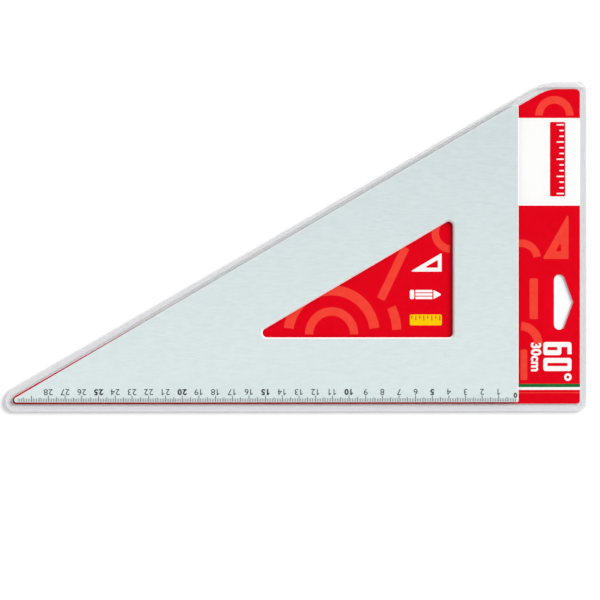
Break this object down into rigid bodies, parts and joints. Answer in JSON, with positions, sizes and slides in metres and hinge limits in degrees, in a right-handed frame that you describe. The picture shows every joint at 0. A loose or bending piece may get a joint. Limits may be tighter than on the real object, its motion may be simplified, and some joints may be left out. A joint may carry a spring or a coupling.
{
  "type": "drafting triangle",
  "caption": "Aluminium 30/60/90 set square with a triangular window and a millimetre scale, packed with a printed header card in a clear welded wallet with a hang hole.",
  "frame": {"origin": "right-angle corner of the set square, on the plane that the wallet lies on", "axes": "+X along the long leg towards the header, +Y up the short leg, +Z out of the face with the scale"},
  "size_m": [0.3486, 0.1947, 0.0032],
  "materials": {
    "clear_film": "clear, softly glossy",
    "welded_film": "clear film, a little frosted by the weld",
    "printed_card": "offset printed, semi-gloss",
    "satin_aluminium": "satin anodised",
    "scale_ink": "printed ink"
  },
  "bodies": {
    "wallet": {"back_film": "clear_film", "front_film": "clear_film", "long_side_seam": "welded_film", "slope_side_seam": "welded_film"},
    "set_square": {"set_square_plate": "satin_aluminium", "graduation_marks": "scale_ink"},
    "card": {"insert_card": "printed_card"}
  },
  "joints": [
    {"name": "set_square_slide", "type": "slide", "parent": "wallet", "child": "set_square", "axis": [1, 0, 0], "range_m": [0, 0.345]},
    {"name": "card_slide", "type": "slide", "parent": "wallet", "child": "card", "axis": [1, 0, 0], "range_m": [0, 0.345]}
  ]
}
